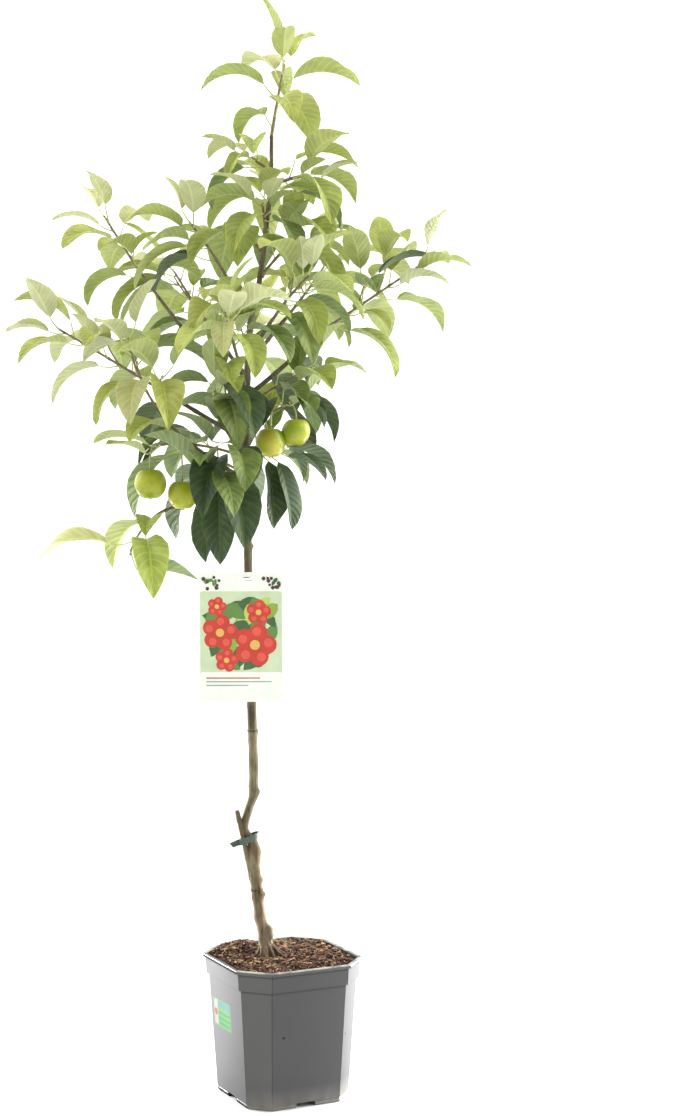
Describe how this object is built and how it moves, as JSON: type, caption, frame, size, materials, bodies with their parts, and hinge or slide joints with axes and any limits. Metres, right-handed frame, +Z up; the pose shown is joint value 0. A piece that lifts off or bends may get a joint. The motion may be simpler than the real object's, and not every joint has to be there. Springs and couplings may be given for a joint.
{
  "type": "dwarf apple tree in a square pot",
  "caption": "Young dwarf apple tree with open branching, long drooping leaves and a few green apples, in a square grey plastic nursery pot",
  "frame": {"origin": "centre of the pot's flat underside, on the ground", "axes": "+Z up along the tree, -Y towards the side seen first, +X to that side's right"},
  "size_m": [0.6318, 0.5457, 1.5031],
  "materials": {
    "pot_plastic": "matt, light scuffs",
    "bark_mix": "rough, damp bark chips",
    "bark": "matt, streaked",
    "tie_plastic": "satin",
    "card_plastic": "satin, printed",
    "strap_plastic": "satin",
    "foliage": "leaf, slight sheen"
  },
  "bodies": {
    "root": {"pot": "pot_plastic", "soil": "bark_mix", "trunk": "bark", "rootstock_stub": "bark", "stem_tie": "tie_plastic", "hanging_card": "card_plastic", "card_strap": "strap_plastic", "bough_left_long": "bark", "bough_left_upper": "bark", "bough_left_front": "bark", "bough_left_low": "bark", "bough_right_long": "bark", "bough_upper_left": "bark", "bough_front": "bark", "bough_front_right": "bark", "bough_back": "bark", "bough_back_left": "bark", "bough_back_right": "bark", "leaves_top": "foliage", "leaves_top_left": "foliage", "leaves_top_right": "foliage", "leaves_top_front": "foliage", "leaves_top_back": "foliage", "leaves_spur_left": "foliage", "leaves_spur_right": "foliage", "leaves_upper_left": "foliage", "leaves_left_upper": "foliage", "leaves_left_long": "foliage", "leaves_left_low": "foliage", "leaves_low_left": "foliage", "leaves_low_right": "foliage", "leaves_low_centre": "foliage", "leaves_fruit_left": "foliage", "leaves_low_front": "foliage", "leaves_left_front": "foliage", "leaves_mid_left": "foliage", "leaves_mid_right": "foliage", "leaves_low_back": "foliage", "leaves_low_back_left": "foliage", "leaves_right_long": "foliage", "leaves_front": "foliage", "leaves_front_right": "foliage", "leaves_back": "foliage", "leaves_back_left": "foliage", "leaves_back_right": "foliage"}
  },
  "joints": []
}
